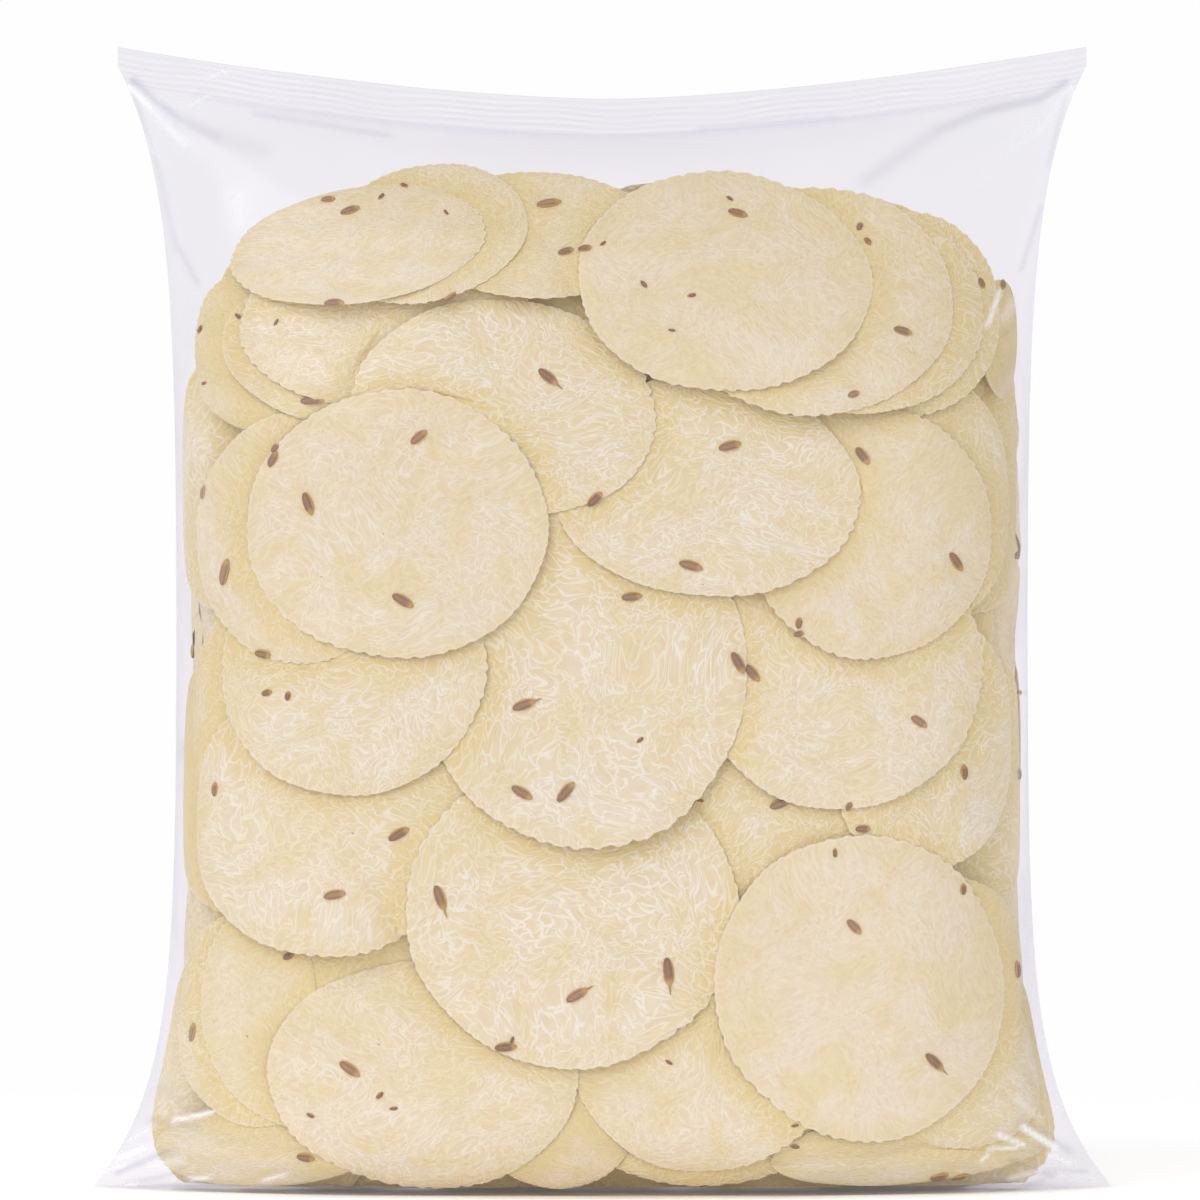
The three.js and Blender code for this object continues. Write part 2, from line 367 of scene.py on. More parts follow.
def clear_film():
    """Thin clear film: it lets light through with a faint lavender tint, and shines at a slant.
    The welded ribs of the seal and the seal's edges let a little less through. Its creases are
    painted shade, a darker tint, and its streaks are painted highlights, a lit white surface mixed
    in."""
    material, nodes = blank_material("clear_film")
    clear, hazy = (0.936, 0.929, 0.950), (0.950, 0.944, 0.961)
    welded, crease_shade_tint, painted_highlight_white = (0.885, 0.876, 0.905), (0.74, 0.73, 0.79), (0.97, 0.97, 1.0)
    place = nodes.add("TexCoord", {}, "Object")
    tint = nodes.blend(nodes.noise(30, 0, place), clear, hazy)
    rib_waves = nodes.add("FloatCurve", {"Value": nodes.attribute("up_seal")}, None)
    ribs = rib_waves.mapping.curves[0].points
    ribs[0].location, ribs[1].location = (0, 0), (1, 0.85)
    for height, weight in rib_weights:
        ribs.new(height, weight)
    tint = nodes.blend(rib_waves.outputs["Value"], tint, welded)
    # Painted shade: the tint darkens along the creases.
    tint = nodes.blend(nodes.attribute("film_crease"), tint, crease_shade_tint)
    see_through = nodes.add("BsdfTransparent", {"Color": tint})
    crinkle = nodes.bump(nodes.noise(150, 0, place), 0.35, 0.0005)
    gloss = nodes.add("BsdfGlossy",
                      {"Color": (0.90, 0.88, 0.95), "Roughness": 0.26, "Normal": crinkle})
    slant = nodes.add("LayerWeight", {"Blend": 0.5}, "Facing")
    shine = nodes.math("MULTIPLY_ADD", nodes.math("POWER", slant, 4.0), 0.8, 0.04)
    white = nodes.add("BsdfPrincipled", {"Base Color": painted_highlight_white, "Roughness": 0.3})
    surface = nodes.mixed(shine, see_through, gloss)
    # Painted highlight: a lit white surface mixed in along the streaks.
    surface = nodes.mixed(nodes.attribute("film_streak"), surface, white)
    nodes.finish(surface)
    return material


film.data.materials.append(clear_film())
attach(film, "root")
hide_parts("bag")

# ----------------------------------------
# The papads against the front film. Thin round discs of pressed dough, about 65 mm across and
# 0.5 mm thick, dried hard. They lie like shingles: a disc's lower rim is out at the film and its
# upper rim is tucked behind, and each bends a little over what it lies on.
papad_thickness = 0.5 * MM
papad_clearance = 0.05 * MM
# How far beyond a covering papad's rim the painted shade reaches.
painted_shade_reach = 8 * MM
# The dough's pattern is laid out in millimetres, over a papad of this radius.
pattern_radius = 33
any_phase = 6.3

# Middle, half sizes (pixels), slope (degrees) and tuck (millimetres), from the foremost back.
front_papads = [
    ((357, 243), (130, 60), 9, 8), ((724, 280), (146, 114), -3, 5),
    ((397, 525), (153, 133), 0, 4), ((861, 987), (146, 153), 0, 2),
    ((424, 231), (103, 72), 14, 9), ((540, 233), (122, 66), 0, 6.5),
    ((812, 300), (144, 117), 0, 4.5), ((505, 408), (152, 109), -8, 4),
    ((385, 322), (150, 86), 0, 5), ((366, 342), (144, 86), 0, 4.5),
    ((868, 308), (117, 108), 0, 4.5), ((705, 487), (153, 112), -6, 4.5),
    ((296, 538), (104, 127), 0, 3), ((352, 667), (135, 128), 0, 3.5),
    ((585, 676), (161, 174), 0, 3), ((572, 914), (169, 150), -2, 3.5),
    ((424, 1074), (155, 114), 0, 3.5), ((868, 530), (126, 128), 0, 3.5),
    ((840, 674), (146, 134), 0, 3.5), ((703, 1050), (134, 121), 0, 3.5),
    ((330, 815), (144, 144), 0, 3.5), ((262, 345), (80, 84), 0, 3.5),
    ((900, 312), (106, 106), 0, 4.5), ((1006, 334), (24, 60), 0, 3), ((945, 972), (88, 98), 0, 3),
    ((952, 1062), (106, 84), -14, 1.5), ((318, 1006), (122, 124), 0, 1.5),
    ((925, 740), (98, 134), 0, 3), ((925, 500), (96, 128), 0, 3.5),
    ((745, 860), (117, 115), 0, 2), ((560, 1128), (74, 60), 0, 2), ((262, 1018), (98, 108), 0, 3),
    ((262, 720), (82, 126), 0, 3), ((268, 1146), (118, 42), 4, 1.5),
    ((915, 1148), (146, 36), 5, 1), ((700, 1100), (140, 84), 0, 2),
]
# How thickly the most visible ones are felted with fibres, by their number in the list above.
front_hairiness = {
    0: 0.32, 1: 0.24, 2: 0.48, 3: 0.11, 4: 0.51, 5: 0.42, 6: 0.38, 7: 0.91, 11: 0.86, 13: 0.71,
    14: 0.97, 15: 0.81, 16: 0.53, 17: 0.28, 18: 0.61, 19: 0.44, 20: 0.66,
}
# Rows of hidden papads behind them, which close the gaps between them.
under_rows_px = (330, 480, 630, 780, 930, 1078)
papad_dice = np.random.default_rng(20)
draw = papad_dice.uniform


def seen_at(px, depth):
    """The place that the photograph shows at a pixel, at a depth (world Y)."""
    reach = (depth - camera_place[1]) / -camera_place[1]
    x = (px[0] - middle_column_px) * px_size
    z = (floor_row_px - px[1]) * px_size
    return x * reach, camera_place[2] + (z - camera_place[2]) * reach


def between_entries(table, row, column):
    """The table's value between its four nearest entries. Its columns go round."""
    i = np.minimum(np.floor(row).astype(int), len(table) - 2)
    j = np.floor(column).astype(int)
    p, q = row - i, column - j
    j, after = j % table.shape[1], (j + 1) % table.shape[1]
    low = table[i, j] * (1 - q) + table[i, after] * q
    high = table[i + 1, j] * (1 - q) + table[i + 1, after] * q
    return low * (1 - p) + high * p


class Papad:
    """One papad as a bent disc: its outline as seen from its face, and its depth in the bag."""

    hairiness = None

    def __init__(self, middle, half, slope, tuck, face, around, rings):
        self.x, self.z = middle
        self.half = half
        self.slope = math.radians(slope)
        self.face = face
        self.around = around
        self.rings = np.array(rings)
        angle = np.linspace(0, 2 * math.pi, around, endpoint=False)
        uneven = np.zeros(around)
        for waves, size in ((2, 0.012), (3, 0.010), (5, 0.006), (9, 0.004)):
            uneven += size * np.cos(waves * angle + draw(0, any_phase))
        sway = 0.5 * np.cos(5 * angle + draw(0, any_phase))
        sway += 0.8 * np.cos(3 * angle + draw(0, any_phase))
        scallops = np.abs(np.cos(papad_dice.integers(48, 60) / 2 * angle + sway))
        small = np.abs(np.cos(papad_dice.integers(80, 96) / 2 * angle - sway))
        patchy = 0.55 + 0.45 * np.cos(2 * angle + draw(0, any_phase))
        rim = 1 + uneven + 0.020 * (scallops - 0.7) * patchy + 0.009 * (small - 0.7)
        share = self.rings[:, None]
        radius = share * (1 + (rim[None, :] - 1) * share**3)
        self.a, self.b = radius * np.cos(angle), radius * np.sin(angle)
        along, up = self.turned(self.a, self.b)
        inside = half_width(np.maximum(self.z + up, 0)) - draw(0.8, 3.4) * MM
        reach = (self.x + along) / inside
        # Beyond nine tenths of the bag's width a disc is squeezed in to fit.
        straight, squeezed = 0.9, 0.1
        over = squeezed * np.tanh(np.clip(np.abs(reach) - straight, 0, None) / squeezed)
        self.place_x = inside * np.sign(reach) * (np.minimum(np.abs(reach), straight) + over)
        self.place_z = np.clip(self.z + up, 1.2 * MM, seal_foot(self.place_x) - 2.5 * MM)
        warp = draw(0, any_phase, 3)
        bend = 0.9 * np.cos(2 * (angle - warp[0])) * share**2
        bend += 0.55 * np.cos(3 * angle - warp[1]) * share**3
        bend += 0.30 * np.cos(7 * angle - warp[2]) * share**5
        bend *= MM * draw(0.6, 1.2)
        self.skin = half_depth(self.place_x, self.place_z)
        self.painted_cover_shade = np.zeros_like(self.skin)
        pinch = np.clip(self.skin / fullest_depth, 0.25, 1)
        inset = 1.0 * MM + (tuck * (1 + self.b) / 2 + 0.8 * MM + bend) * pinch
        self.inset = np.minimum(inset, self.skin * 1.6)

    def turned(self, a, b):
        along, up = a * self.half[0], b * self.half[1]
        cos, sin = math.cos(self.slope), math.sin(self.slope)
        return along * cos - up * sin, along * sin + up * cos

    def inset_at(self, x, z):
        """This papad's distance behind the film at places x, z, where it covers them, and how far
        beyond its rim they are."""
        cos, sin = math.cos(self.slope), math.sin(self.slope)
        away_x, away_z = x - self.x, z - self.z
        a = (away_x * cos + away_z * sin) / self.half[0]
        b = (-away_x * sin + away_z * cos) / self.half[1]
        radius = np.hypot(a, b)
        turn = (np.arctan2(b, a) / (2 * math.pi)) % 1 * self.around
        ring = np.interp(radius, np.append(0, self.rings), np.arange(len(self.rings) + 1))
        table = np.vstack([np.full(self.around, self.inset[0].mean()), self.inset])
        inset = between_entries(table, ring, turn)
        just_beyond_rim = 1.04
        return inset, radius < just_beyond_rim, (radius - 1) * sum(self.half) / 2

    def lie_behind(self, others):
        """Moves back where papads in front need room, and bends smoothly round them."""
        need = np.zeros_like(self.inset)
        for other in others:
            gap = abs(other.x - self.x) + abs(other.z - self.z)
            if gap > 2.6 * max(self.half[0], other.half[0]):
                continue
            ahead, covers, away = other.inset_at(self.place_x, self.place_z)
            # Painted shade: nearness to the rim of a papad that covers this one.
            self.painted_cover_shade = np.maximum(self.painted_cover_shade, np.clip(1 - away / painted_shade_reach, 0, 1))
            room = ahead + papad_thickness + papad_clearance - self.inset
            need = np.maximum(need, np.where(covers, room, 0))
        shift = need.copy()
        smoothing_rounds = 160
        for _ in range(smoothing_rounds):
            inner = np.vstack([np.full((1, self.around), shift[0].mean()), shift[:-1]])
            outer = np.vstack([shift[1:], shift[-1:]])
            sides = np.roll(shift, 1, axis=1) + np.roll(shift, -1, axis=1)
            shift = np.maximum(need, (inner + outer + sides) / 4)
        self.inset = self.inset + shift

    def places(self):
        """The middle place and the rings of places, in metres, each one's place on the disc, and
        how near it is to a papad that covers it and to the film, which set where shade and haze
        are painted on it."""
        # Painted haze: how close the disc lies to the film, which whitens it.
        painted_film_haze = np.exp(-np.clip(self.inset - 1.2 * MM, 0, None) / (1.6 * MM))
        y = self.face * (self.skin - self.inset)
        rings = np.stack([self.place_x, y, self.place_z], -1)
        turn = draw(0, 2 * math.pi)
        cos, sin = pattern_radius * math.cos(turn), pattern_radius * math.sin(turn)
        flat = np.stack([self.a * cos - self.b * sin, self.a * sin + self.b * cos], -1)
        return (
            np.vstack([rings[0].mean(axis=0), rings.reshape(-1, 3)]),
            np.vstack([[0, 0], flat.reshape(-1, 2)]),
            np.append(0, np.repeat(self.rings, self.around)),
            np.append(self.painted_cover_shade[0].mean(), self.painted_cover_shade),
            np.append(painted_film_haze[0].mean(), painted_film_haze),
        )


def papad_faces(rings, around):
    """A fan in the middle and rings of quads round it, facing -Y."""
    steps = [(i, (i + 1) % around) for i in range(around)]
    faces = [(0, 1 + i, 1 + j) for i, j in steps]
    for ring in range(rings - 1):
        inner, outer = 1 + ring * around, 1 + (ring + 1) * around
        faces += [(inner + i, outer + i, outer + j, inner + j) for i, j in steps]
    return faces


def joined_papads(name, papads):
    """One mesh of several papads: single skins first, then given their thickness."""
    faces_of_one = papad_faces(len(papads[0].rings), papads[0].around)
    parts, faces = [], []
    for papad in papads:
        start = sum(len(part[0]) for part in parts)
        own = papad.places()
        pick = draw(0, 1)
        pick = pick if papad.hairiness is None else papad.hairiness
        parts.append((*own, np.full(len(own[0]), pick)))
        for face in faces_of_one:
            corners = [start + corner for corner in face]
            faces.append(corners if papad.face < 0 else corners[::-1])
    places, flat, share, cover_shade_painted, painted_film_haze, pick = map(np.concatenate, zip(*parts))
    mesh = new_mesh(name, places.tolist(), faces)
    add_papad_attributes(mesh, flat, share, pick, cover_shade_painted, painted_film_haze)
    return thickened(name, mesh)


def add_papad_attributes(mesh, flat, share, pick, cover_shade_painted, painted_film_haze):
    """Where a point lies on its own papad (millimetres, with a slow swirl), its share of the
    radius, how hairy the papad is (0 to 1), and how near it is to one that covers it and to the
    film, which set the painted shade and the painted haze."""
    x, y = flat.T
    swirl_x = 3.2 * np.sin(y / 7 + 9 * pick) + 1.3 * np.sin(x / 3.6 - y / 5.3 + 40 * pick)
    swirl_y = 3.2 * np.sin(x / 8 - 7 * pick) + 1.3 * np.sin(y / 3.4 + x / 6.1 + 50 * pick)
    for key, values in (
        ("papad_spot", np.stack([x + swirl_x + 400 * pick, y + swirl_y, 700 * pick], -1)),
        ("papad_rim", share),
        ("papad_tone", pick),
        ("papad_painted_shade", cover_shade_painted),
        ("papad_painted_haze", painted_film_haze),
    ):
        keep_values(mesh, key, values)


def baked_mesh(holder):
    """The mesh that an object's modifiers make of it. The object itself goes."""
    ready = holder.evaluated_get(bpy.context.evaluated_depsgraph_get())
    mesh = bpy.data.meshes.new_from_object(ready)
    bpy.data.objects.remove(holder)
    return mesh


def smooth_piece(name, mesh):
    mesh.name = name
    mesh.shade_smooth()
    mesh.set_sharp_from_angle(angle=math.radians(50))
    return new_piece(name, mesh)


def thickened(name, mesh):
    """The papads' skins as closed discs, a little thinner at the rim."""
    skin = new_piece(name + "_skin", mesh)
    thick = skin.vertex_groups.new(name="thick")
    share = np.zeros(len(mesh.vertices), np.float32)
    mesh.attributes["papad_rim"].data.foreach_get("value", share)
    rim_start, rim_weight = 0.97, 0.45
    for weight, chosen in ((1.0, share < rim_start), (rim_weight, share >= rim_start)):
        thick.add(np.nonzero(chosen)[0].tolist(), weight, "REPLACE")
    wall = skin.modifiers.new("thickness", "SOLIDIFY")
    wall.thickness = papad_thickness
    wall.offset = 0
    wall.vertex_group = "thick"
    return smooth_piece(name, baked_mesh(skin))


def papad_hairs(nodes, spot, clouds, scale, reach, width, start):
    """Short curved hairs, one in each cell of a pattern, each laid its own way. The scale is in
    cells a millimetre, and reach and width are half a hair's length and thickness."""
    shifted = nodes.vector("ADD", spot, (start, start * 0.7, 0))
    cells = nodes.add("TexVoronoi", {"Vector": shifted, "Scale": scale}, None,
                      voronoi_dimensions="2D")
    away = nodes.vector("SUBTRACT", shifted, cells.outputs["Position"])
    chance = nodes.add("SeparateColor", {"Color": cells.outputs["Color"]}, None)
    angle = nodes.math("MULTIPLY_ADD", clouds, 6.0, nodes.times(chance.outputs[0], 2.6))
    laid = nodes.add("VectorRotate", {"Vector": away, "Angle": angle},
                     rotation_type="Z_AXIS")
    way = nodes.add("SeparateXYZ", {"Vector": laid}, None)
    along, off = way.outputs["X"], way.outputs["Y"]
    curl = nodes.math("MULTIPLY_ADD", chance.outputs[1], 0.7, -0.35)
    bent = nodes.math("MULTIPLY_ADD", nodes.times(along, along), curl, off)
    body = nodes.spread(nodes.math("ABSOLUTE", bent), width, width * 0.2)
    ends = nodes.spread(nodes.math("ABSOLUTE", along), reach, reach * 0.5)
    return nodes.times(body, ends)


def papad_dough():
    """Dried dough, milky and a little see-through, felted with pale curved hairs, yellower at its
    rim and with fine brown specks. Near a papad that covers it, painted shade makes it yellower
    and darker; a painted haze makes it whiter where it lies against the film; and a pale line
    along the very rim is partly a painted highlight."""
    material, nodes = blank_material("papad_dough")
    times, spread, blend, noise = nodes.times, nodes.spread, nodes.blend, nodes.noise
    clear, milky, honey, painted_shade_yellow = (
        (0.84, 0.71, 0.41), (0.86, 0.735, 0.505), (0.79, 0.63, 0.36), (0.80, 0.64, 0.28))
    hair, hazy, husk = (0.96, 0.91, 0.78), (0.88, 0.80, 0.67), (0.42, 0.25, 0.12)
    spot = nodes.attribute("papad_spot", "Vector")
    rim, tone = nodes.attribute("papad_rim"), nodes.attribute("papad_tone")
    cover_shade_painted, painted_film_haze = nodes.attribute("papad_painted_shade"), nodes.attribute("papad_painted_haze")
    swirled = nodes.vector("MULTIPLY_ADD", noise(0.30, 0, spot, "Color"), (3.0, 3.0, 0), spot)
    felt, clouds = noise(0.60, 1, swirled), noise(0.11, 1, spot)

    # Painted shade near a covering papad: the dough turns yellower and darker there and has fewer
    # hairs.
    near = spread(cover_shade_painted, 0.0, 1.0)
    bare_rim_and_painted_shade = nodes.math("MAXIMUM", near, times(spread(rim, 0.80, 0.98), 0.75))
    matted = times(spread(clouds, 0.30, 0.62), nodes.math("SUBTRACT", 1.0, times(bare_rim_and_painted_shade, 0.8)))
    hairs = papad_hairs(nodes, swirled, clouds, 0.36, 2.3, 0.26, 0.0)
    for scale, reach, width, start in ((0.42, 2.0, 0.24, 17.3), (0.31, 2.8, 0.28, 41.9)):
        layer = papad_hairs(nodes, swirled, clouds, scale, reach, width, start)
        hairs = nodes.math("MAXIMUM", hairs, layer)
    hairy = nodes.math("MULTIPLY_ADD", spread(tone, 0.10, 0.90), 0.65, 0.35)
    hairs = times(hairs, times(hairy, nodes.math("MULTIPLY_ADD", matted, 0.5, 0.5)))

    speck = nodes.add("TexVoronoi", {"Vector": spot, "Scale": 0.16}, None)
    rare = nodes.add("SeparateColor", {"Color": speck.outputs["Color"]})
    dots = times(spread(speck.outputs["Distance"], 0.055, 0.03),
                 nodes.math("GREATER_THAN", rare, 0.8))
    colour = blend(nodes.math("MULTIPLY_ADD", matted, 0.8, 0.1), clear, milky)
    colour = blend(times(spread(felt, 0.42, 0.66), 0.45), colour, honey)
    # Painted haze: whiter where the disc lies close against the film.
    colour = blend(times(painted_film_haze, times(matted, 0.6)), colour, hazy)
    # Painted shade: yellower and darker next to a papad that covers it.
    colour = blend(times(near, 0.85), colour, painted_shade_yellow)
    colour = blend(times(hairs, 0.8), colour, hair)
    # A pale line along the very rim: partly a painted highlight on the edge, partly its paler
    # chipped dough.
    colour = blend(times(spread(rim, 0.98, 1.0), 0.35), colour, hair)
    colour = blend(times(dots, 0.6), colour, husk)
    body = nodes.add("BsdfPrincipled", {
        "Base Color": colour,
        "Roughness": nodes.math("MULTIPLY_ADD", felt, 0.25, 0.42),
        "Specular IOR Level": 0.35,
        "Normal": nodes.bump(noise(1.1, 0, spot), 0.55, 0.0005),
    })
    nodes.finish(body)
    return material


dough = papad_dough()


def settled(papads):
    for number, papad in enumerate(papads):
        papad.lie_behind(papads[:number])
    return papads


papad_pieces = []


def shown(piece):
    """The piece rides with the bag, and is listed with the other papads."""
    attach(piece, "root")
    papad_pieces.append(piece)


front_list = []
# How far towards the camera these papads lie, for their size in the photograph.
near = -fullest_depth * 0.8
near_px_size = (near - camera_place[1]) / -camera_place[1] * px_size
fine_rings = (0.16, 0.33, 0.49, 0.63, 0.75, 0.85, 0.92, 0.968, 1.0)
coarse_rings = (0.35, 0.64, 0.85, 0.96, 1.0)
for middle, half, slope, tuck in front_papads:
    half = half[0] * near_px_size, half[1] * near_px_size
    front_list.append(Papad(seen_at(middle, near), half, slope, tuck * MM, -1, 288, fine_rings))
visible_count = len(front_list)
for number, hairiness in front_hairiness.items():
    front_list[number].hairiness = hairiness
under_half, under_step_px = 140 * near_px_size, 170
for number, row in enumerate(under_rows_px):
    for column in (-2, -1, 0, 1, 2) if number % 2 else (-1.5, -0.5, 0.5, 1.5):
        middle = seen_at((middle_column_px + under_step_px * column, row), near)
        front_list.append(Papad(middle, (under_half, under_half), draw(0, 90),
                                2 * MM, -1, 128, coarse_rings))
settled(front_list)
upper_count = 18
for name, chosen in (("papads_front_upper", front_list[:upper_count]),
                     ("papads_front_lower", front_list[upper_count:visible_count]),
                     ("papads_front_under", front_list[visible_count:])):
    piece = joined_papads(name, chosen)
    piece.data.materials.append(dough)
    shown(piece)

# ----------------------------------------
# The papads against the back film: the same discs, in staggered rows that are each a little off.
papad_radius = 32.5 * MM
back_rows = (194, 182, 165, 145, 126, 106, 86, 66, 46, 28)
back_list = []
for number, row in enumerate(back_rows):
    count = 3 + number % 2
    for i in range(count):
        x = (i - (count - 1) / 2) * 43 + draw(-7, 7)
        # The upper rows sink towards the bag's sides, and the top ones are lower discs.
        z = row + draw(-5, 5) - 0.0035 * x * x * (row > 150)
        half_across = papad_radius * draw(0.95, 1.03)
        half_up = papad_radius * draw(0.8, 0.98) * (0.8 if row > 180 else 1)
        back_list.append(Papad((x * MM, z * MM), (half_across, half_up), draw(-14, 14),
                               draw(3, 6) * MM, 1, 160, coarse_rings))
papads_back = joined_papads("papads_back", settled(back_list))
papads_back.data.materials.append(dough)
shown(papads_back)

# ----------------------------------------
# The papads inside and at the sides: loose leaves of whole discs between the two faces, and
# discs that stand on edge against the side film. They fill the bag up to the heap's top.


def copies_tree(name, material):
    """Geometry nodes that put a copy of one object on each point, as its attributes say."""
    tree = bpy.data.node_groups.new(name, "GeometryNodeTree")
    for item, way, kind in (("Geometry", "INPUT", "Geometry"), ("Copied piece", "INPUT", "Object"),
                            ("Size", "INPUT", "Float"), ("Geometry", "OUTPUT", "Geometry")):
        tree.interface.new_socket(item, in_out=way, socket_type="NodeSocket" + kind)
    nodes = Nodes(tree)
    start = nodes.add("NodeGroupInput", {}, None)
    source = nodes.add("GeometryNodeObjectInfo", {"Object": start.outputs["Copied piece"]},
                       "Geometry", transform_space="ORIGINAL")
    turn, stretch = (nodes.add("GeometryNodeInputNamedAttribute", {"Name": key}, "Attribute",
                               data_type="FLOAT_VECTOR") for key in ("turn", "stretch"))
    size = nodes.add("VectorMath", {0: stretch, "Scale": start.outputs["Size"]},
                     "Vector", operation="SCALE")
    copies = nodes.add("GeometryNodeInstanceOnPoints", {
        "Points": start.outputs["Geometry"],
        "Instance": source,
        "Rotation": nodes.add("FunctionNodeEulerToRotation", {"Euler": turn}),
        "Scale": size,
    })
    real = nodes.add("GeometryNodeRealizeInstances", {"Geometry": copies})
    painted = nodes.add("GeometryNodeSetMaterial", {"Geometry": real, "Material": material})
    nodes.add("NodeGroupOutput", {"Geometry": painted}, None)
    return tree


def copied(name, tree, template, size, copies, tones, tone_name):
    """One mesh of copies of a template, each with its spot, turn (radians) and stretch."""
    spots, turns, stretches = zip(*copies)
    cloud = new_mesh(name + "_spots", [tuple(spot) for spot in spots], [])
    for key, values in (("turn", turns), ("stretch", stretches), (tone_name, tones)):
        keep_values(cloud, key, values)
    holder = new_piece(name + "_holder", cloud)
    nodes = holder.modifiers.new("copies", "NODES")
    nodes.node_group = tree
    sockets = {item.name: item.identifier for item in tree.interface.items_tree
               if item.in_out == "INPUT"}
    nodes[sockets["Copied piece"]] = template
    nodes[sockets["Size"]] = size
    bpy.context.view_layer.update()
    mesh = baked_mesh(holder)
    for key in ("turn", "stretch"):
        if key in mesh.attributes:
            mesh.attributes.remove(mesh.attributes[key])
    return smooth_piece(name, mesh)


def papad_template():
    """A whole papad of radius 1, lying in X and Z, with a slight dish and a scalloped rim."""
    around, rings = 64, np.array([0.4, 0.75, 0.95, 1.0])
    angle = np.linspace(0, 2 * math.pi, around, endpoint=False)
    rim = 1 + 0.012 * np.abs(np.cos(16 * angle + np.cos(3 * angle))) + 0.008 * np.cos(3 * angle)
    radius = rings[:, None] * (1 + (rim[None, :] - 1) * rings[:, None] ** 2)
    x, z = radius * np.cos(angle), radius * np.sin(angle)
    y = 0.035 * np.cos(2 * angle)[None, :] * rings[:, None] ** 2
    places = np.vstack([[0, 0, 0], np.stack([x, y, z], -1).reshape(-1, 3)])
    mesh = new_mesh("papad_template", places.tolist(), papad_faces(len(rings), around))
    none = np.zeros(len(places))
    share = np.append(0, np.repeat(rings, around))
    add_papad_attributes(mesh, places[:, [0, 2]] * pattern_radius, share, none, none, none)
    mesh.attributes.remove(mesh.attributes["papad_tone"])
    template = new_piece("papad_template", mesh)
    wall = template.modifiers.new("thickness", "SOLIDIFY")
    wall.thickness = papad_thickness / papad_radius
    wall.offset = 0
    return bpy.data.objects.new("papad_template", baked_mesh(template))


def heap_top(x):
    """Height of the heap of papads along the bag's width."""
    return 0.2255 - 0.030 * np.minimum(np.abs(x) / (93 * MM), 1.1) ** 3.5


papad_copies = copies_tree("papad_copies", dough)
one_papad = papad_template()
leaf_depths = (-23, -17, -11, -4, 3, 10, 16, 22)
short_leaves, top_row = (1, 5), 5
inner_copies = []
for leaf, depth in enumerate(leaf_depths):
    for row in range(top_row + 1):
        at_top = row == top_row
        if leaf in short_leaves and not at_top:
            continue
        count = 6 if at_top else 3 + (row + leaf) % 2
        step, stray = (28, 3) if at_top else (44, 8)
        for i in range(count):
            x = (i - (count - 1) / 2) * step + draw(-stray, stray)
            edge = heap_top(x * MM) / MM - 32 - 0.016 * depth**2
            if at_top:
                z = edge - draw(0, 3)
            else:
                z = min(32 + row * 33 + draw(-7, 7), edge)
            turn = draw(-0.16, 0.16), draw(0, any_phase), draw(-0.12, 0.12)
            inner_copies.append(((x * MM, depth * MM, z * MM), turn, (1, 1, draw(0.92, 1.0))))
inner = copied("papads_inner", papad_copies, one_papad, papad_radius, inner_copies,
               draw(0, 1, len(inner_copies)), "papad_tone")


def vertex_places(mesh):
    flat = np.zeros(len(mesh.vertices) * 3, np.float32)
    mesh.vertices.foreach_get("co", flat)
    return flat.reshape(-1, 3).astype(float)


def move_vertices(mesh, places):
    mesh.vertices.foreach_set("co", places.astype(np.float32).ravel())
    mesh.update()


def mesh_tree(pieces):
    """One searchable surface of several pieces."""
    places, faces = [], []
    for piece in pieces:
        start = len(places)
        places.extend(vertex_places(piece.data).tolist())
        faces.extend([[start + i for i in face.vertices] for face in piece.data.polygons])
    return BVHTree.FromPolygons(places, faces)


pile_step = 3 * MM
pile_x = np.arange(-100, 101, 3) * MM
pile_z = np.arange(0, 244, 3) * MM


def neighbours(table):
    """A table and its eight shifts by a step, as layers."""
    rows, columns = table.shape
    near = np.pad(table, 1, mode="edge")
    return np.array([near[i : i + rows, j : j + columns] for i in range(3) for j in range(3)])


def pile_surface(tree, face):
    """Depth of the inner side of the papads at one face, as a smooth table over the outline."""
    table = np.zeros((len(pile_z), len(pile_x)))
    for i, z in enumerate(pile_z):
        for j, x in enumerate(pile_x):
            skin = half_depth(x, z) - 3 * MM
            hit = tree.ray_cast(Vector((x, -face * 0.001, z)), Vector((0, face, 0)))[0]
            table[i, j] = skin if hit is None else min(abs(hit[1]), skin)
    for _ in range(3):
        table = neighbours(table).min(axis=0)
    for _ in range(4):
        table = neighbours(table).mean(axis=0)
    return np.maximum(table - 0.8 * MM, 0.3 * MM)


def table_at(table, x, z):
    column = np.clip((x - pile_x[0]) / pile_step, 0, len(pile_x) - 1.001)
    row = np.clip((z - pile_z[0]) / pile_step, 0, len(pile_z) - 1.001)
    return between_entries(table, row, column)


# The leaves are laid out over this depth first.
leaf_span = 52 * MM


def fit_between_piles(mesh):
    """Bends leaves that were laid flat at full depth into the room between front and back."""
    front_side = pile_surface(mesh_tree(papad_pieces[:3]), -1)
    back_side = pile_surface(mesh_tree(papad_pieces[3:4]), 1)
    places = vertex_places(mesh)
    inside = half_width(np.maximum(places[:, 2], 0)) - 6 * MM
    places[:, 0] = inside * np.tanh(places[:, 0] / inside * 1.15)
    places[:, 2] = np.clip(places[:, 2], 1.5 * MM, None)
    x, y, z = places.T
    low, high = -table_at(front_side, x, z), table_at(back_side, x, z)
    places[:, 1] = low + (high - low) * np.clip(y / leaf_span + 0.5, 0, 1)
    move_vertices(mesh, places)


fit_between_piles(inner.data)
shown(inner)

